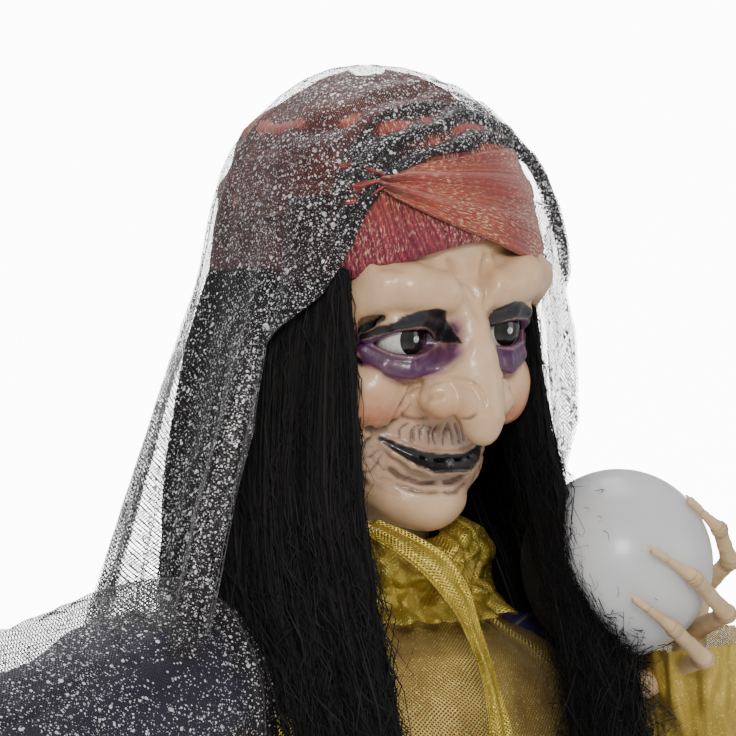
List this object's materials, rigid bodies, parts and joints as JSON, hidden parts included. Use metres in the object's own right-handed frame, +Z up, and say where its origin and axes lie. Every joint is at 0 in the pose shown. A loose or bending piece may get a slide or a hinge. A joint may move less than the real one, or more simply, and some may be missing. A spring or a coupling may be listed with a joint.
{
  "type": "animated witch figure",
  "caption": "Life-size standing animated witch fortune teller with a turning head, glittered net veil, posable arms and a light-up ball in one raised hand.",
  "frame": {"origin": "centre of the stand hub's underside, on the floor and on the pole's axis", "axes": "+Z up along the pole, the figure faces -Y at rest, its own left side is +X"},
  "size_m": [0.8302, 0.5801, 1.656],
  "materials": {
    "stand_metal": "black powder coat, satin",
    "zinc": "zinc plated",
    "foot_rubber": "matt",
    "wire": "satin",
    "torso_plastic": "blow moulded, matt",
    "case_plastic": "fine texture",
    "battery": "printed sleeve",
    "board": "solder resist",
    "motor_metal": "plain",
    "gear_plastic": "natural acetal",
    "skin": "glossy painted vinyl, cream",
    "eye_clear": "painted eyeball, glossy",
    "led": "clear lens",
    "lip_black": "glossy black",
    "head_plastic": "moulded",
    "hair": "black synthetic fibre",
    "scarf": "metallic crinkle cloth, coral",
    "net": "fine net with silver glitter",
    "gold_net": "metallic net, gold",
    "dress_cloth": "satin, deep purple",
    "skirt_cloth": "satin, purple black",
    "bodice_cloth": "dusty rose lining under net",
    "ball": "milky translucent"
  },
  "bodies": {
    "stand": {"stand_hub": "stand_metal", "stand_legs": "stand_metal", "stand_feet": "foot_rubber", "hub_screws": "zinc", "pole_lower": "stand_metal", "pole_upper": "stand_metal", "pole_coupler": "zinc", "skirt_hoop": "wire", "torso_front_shell": "torso_plastic", "torso_back_shell": "torso_plastic", "torso_screws": "zinc", "shoulder_bar": "stand_metal", "shoulder_lugs": "zinc", "shoulder_bolts": "zinc", "gearbox_tub": "case_plastic", "gearbox_lid": "case_plastic", "neck_bushes": "gear_plastic", "head_motor": "motor_metal", "hair_locks": "hair", "veil_drape": "net", "bodice": "bodice_cloth", "skirt": "skirt_cloth", "collar_ruffle": "gold_net", "chest_drape": "gold_net", "control_box": "case_plastic", "batteries": "battery", "circuit_board": "board", "speaker": "motor_metal", "power_jack": "case_plastic"},
    "head": {"neck_gear": "gear_plastic", "neck_shaft": "zinc", "face_mask": "skin", "head_back_shell": "head_plastic", "head_screws": "zinc", "eyes": "eye_clear", "eye_lights": "led", "mouth_liner": "lip_black", "sound_sensor": "case_plastic", "neck_shroud": "skin", "head_crosspiece": "stand_metal", "headscarf": "scarf", "wig_upper": "hair", "veil_hood": "net"},
    "motor_pinion": {"drive_pinion": "gear_plastic"},
    "left_upper_arm": {"upper_arm_left": "stand_metal", "elbow_bolt_left": "zinc", "sleeve_upper_left": "gold_net"},
    "left_forearm": {"forearm_left": "stand_metal", "sleeve_lower_left": "gold_net"},
    "left_hand": {"hand_left": "skin", "crystal_ball": "ball", "ball_light_board": "board"},
    "right_upper_arm": {"upper_arm_right": "stand_metal", "elbow_bolt_right": "zinc", "sleeve_upper_right": "net"},
    "right_forearm": {"forearm_right": "stand_metal", "sleeve_lower_right": "net"},
    "right_hand": {"hand_right": "skin"},
    "battery_cover": {"battery_door": "case_plastic"},
    "switch_slider": {"mode_switch": "gear_plastic"}
  },
  "joints": [
    {"name": "head_turn", "type": "hinge", "parent": "stand", "child": "head", "pos_m": [0, 0, 1.3], "axis": [0, 0, 1], "range_deg": [-30, 30]},
    {"name": "pinion_spin", "type": "hinge", "parent": "stand", "child": "motor_pinion", "pos_m": [0, 0.032, 1.3], "axis": [0, 0, 1], "range_deg": [-92, 92]},
    {"name": "left_shoulder", "type": "hinge", "parent": "stand", "child": "left_upper_arm", "pos_m": [0.158, 0, 1.262], "axis": [0, 1, 0], "range_deg": [-3, 8]},
    {"name": "left_elbow", "type": "hinge", "parent": "left_upper_arm", "child": "left_forearm", "pos_m": [0.262, -0.05, 1.086], "axis": [-0.849, -0.3387, -0.4055], "range_deg": [-30, 2]},
    {"name": "left_wrist", "type": "hinge", "parent": "left_forearm", "child": "left_hand", "pos_m": [0.188, -0.08, 1.266], "axis": [-0.3146, -0.1279, 0.9405], "range_deg": [-20, 20]},
    {"name": "right_shoulder", "type": "hinge", "parent": "stand", "child": "right_upper_arm", "pos_m": [-0.158, 0, 1.262], "axis": [0, 1, 0], "range_deg": [-25, 30]},
    {"name": "right_elbow", "type": "hinge", "parent": "right_upper_arm", "child": "right_forearm", "pos_m": [-0.35, -0.024, 1.206], "axis": [-0.2893, 0.6273, 0.723], "range_deg": [-30, 40]},
    {"name": "right_wrist", "type": "hinge", "parent": "right_forearm", "child": "right_hand", "pos_m": [-0.436, -0.172, 1.3], "axis": [-0.4258, -0.7875, 0.4456], "range_deg": [-40, 40]},
    {"name": "battery_cover_slide", "type": "slide", "parent": "stand", "child": "battery_cover", "axis": [0, 0, -1], "range_m": [0, 0.064]},
    {"name": "mode_switch_slide", "type": "slide", "parent": "stand", "child": "switch_slider", "axis": [0, 0, 1], "range_m": [-0.004, 0.004]}
  ],
  "couplings": [
    {"joint": "pinion_spin", "follows": "head_turn", "ratio": -3}
  ]
}
